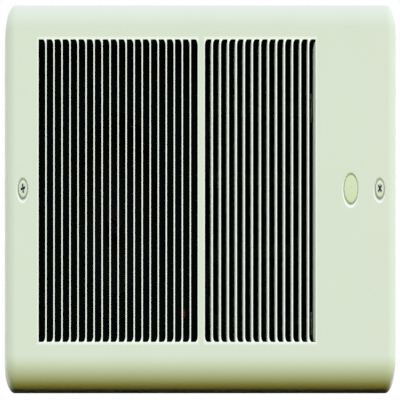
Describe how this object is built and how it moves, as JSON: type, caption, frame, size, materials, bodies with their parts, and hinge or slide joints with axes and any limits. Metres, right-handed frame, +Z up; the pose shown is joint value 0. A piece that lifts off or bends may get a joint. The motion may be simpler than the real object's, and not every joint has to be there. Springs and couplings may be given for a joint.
{
  "type": "bathroom wall fan heater",
  "caption": "Recessed wall fan heater: louvred steel cover over a wall can with blower, finned element, thermostat and reset limit.",
  "frame": {"origin": "on the wall's surface, at the middle of the wall opening", "axes": "+X to the right seen from the room, +Y into the wall, +Z up"},
  "size_m": [0.386, 0.1216, 0.1774],
  "materials": {
    "cover_enamel": "pale greenish ivory powder coat, satin, faint orange peel",
    "plug_plastic": "moulded, a shade yellower than the cover",
    "zinc_steel": "bright zinc plate",
    "spring_steel": "dark phosphated spring steel",
    "galvanised_steel": "hot-dip galvanised sheet with spangle",
    "black_paint": "matt black stoved paint",
    "black_plastic": "moulded glass-filled plastic",
    "shaft_steel": "black-oxidised, ground",
    "motor_steel": "stamped electrical steel, varnished",
    "element_steel": "finned sheath blackened by heat",
    "aluminium": "die cast",
    "bronze": "sintered bronze",
    "coil_copper": "varnished enamelled copper wire",
    "spool_nylon": "natural nylon",
    "ceramic": "unglazed steatite",
    "brass": "plain machined brass",
    "red_plastic": "moulded",
    "green_zinc": "green dyed zinc plate",
    "black_insulation": "flexible wire insulation",
    "white_insulation": "flexible wire insulation",
    "green_insulation": "flexible wire insulation",
    "connector_plastic": "moulded twist-on connector"
  },
  "bodies": {
    "root": {"front_cover": "cover_enamel", "hole_plug": "plug_plastic", "cover_screw_left": "zinc_steel", "cover_screw_right": "zinc_steel", "cable_clamp_screw_1": "zinc_steel", "cable_clamp_screw_2": "zinc_steel", "cable_clamp_body": "zinc_steel", "cable_clamp_saddle": "zinc_steel", "cable_clamp_locknut": "zinc_steel", "chassis_screw_1": "zinc_steel", "chassis_screw_2": "zinc_steel", "chassis_screw_3": "zinc_steel", "chassis_screw_4": "zinc_steel", "motor_bolt_left": "zinc_steel", "motor_bolt_right": "zinc_steel", "thermostat_nut": "zinc_steel", "clip_nut_left": "spring_steel", "clip_nut_right": "spring_steel", "wall_can": "galvanised_steel", "limit_strap": "galvanised_steel", "chassis_plate": "black_paint", "inlet_ring": "black_paint", "scroll_housing": "black_paint", "heat_box": "black_paint", "air_deflector": "black_paint", "thermostat_body": "black_plastic", "stator_core": "motor_steel", "heating_element": "element_steel", "front_motor_bracket": "aluminium", "rear_motor_bracket": "aluminium", "front_bearing": "bronze", "rear_bearing": "bronze", "motor_coil": "coil_copper", "coil_spool": "spool_nylon", "terminal_insulator_lower": "ceramic", "terminal_insulator_upper": "ceramic", "limit_switch": "ceramic", "element_terminal_lower": "brass", "element_terminal_upper": "brass", "thermostat_blade_1": "brass", "thermostat_blade_2": "brass", "ground_screw": "green_zinc", "supply_lead_black": "black_insulation", "motor_lead_black": "black_insulation", "limit_lead_supply": "black_insulation", "limit_lead_element": "black_insulation", "supply_lead_white": "white_insulation", "motor_lead_white": "white_insulation", "ground_lead": "green_insulation", "wire_connector_1": "connector_plastic", "wire_connector_2": "connector_plastic"},
    "fan_rotor": {"blower_wheel": "black_plastic", "blower_hub": "black_plastic", "hub_set_screw": "shaft_steel", "motor_shaft": "shaft_steel", "rotor_core": "motor_steel"},
    "thermostat_spindle": {"thermostat_spindle": "brass"},
    "reset_button": {"reset_button": "red_plastic"}
  },
  "joints": [
    {"name": "fan_spin", "type": "hinge", "parent": "root", "child": "fan_rotor", "pos_m": [-0.08261, 0.024, 0], "axis": [0, 1, 0], "continuous": true},
    {"name": "thermostat_turn", "type": "hinge", "parent": "root", "child": "thermostat_spindle", "pos_m": [0.1481, 0, 0.001], "axis": [0, 1, 0], "range_deg": [0, 270]},
    {"name": "reset_press", "type": "slide", "parent": "root", "child": "reset_button", "axis": [0, 1, 0], "range_m": [0, 0.0015], "stiffness_N_per_m": 400, "springref_m": -0.002}
  ]
}
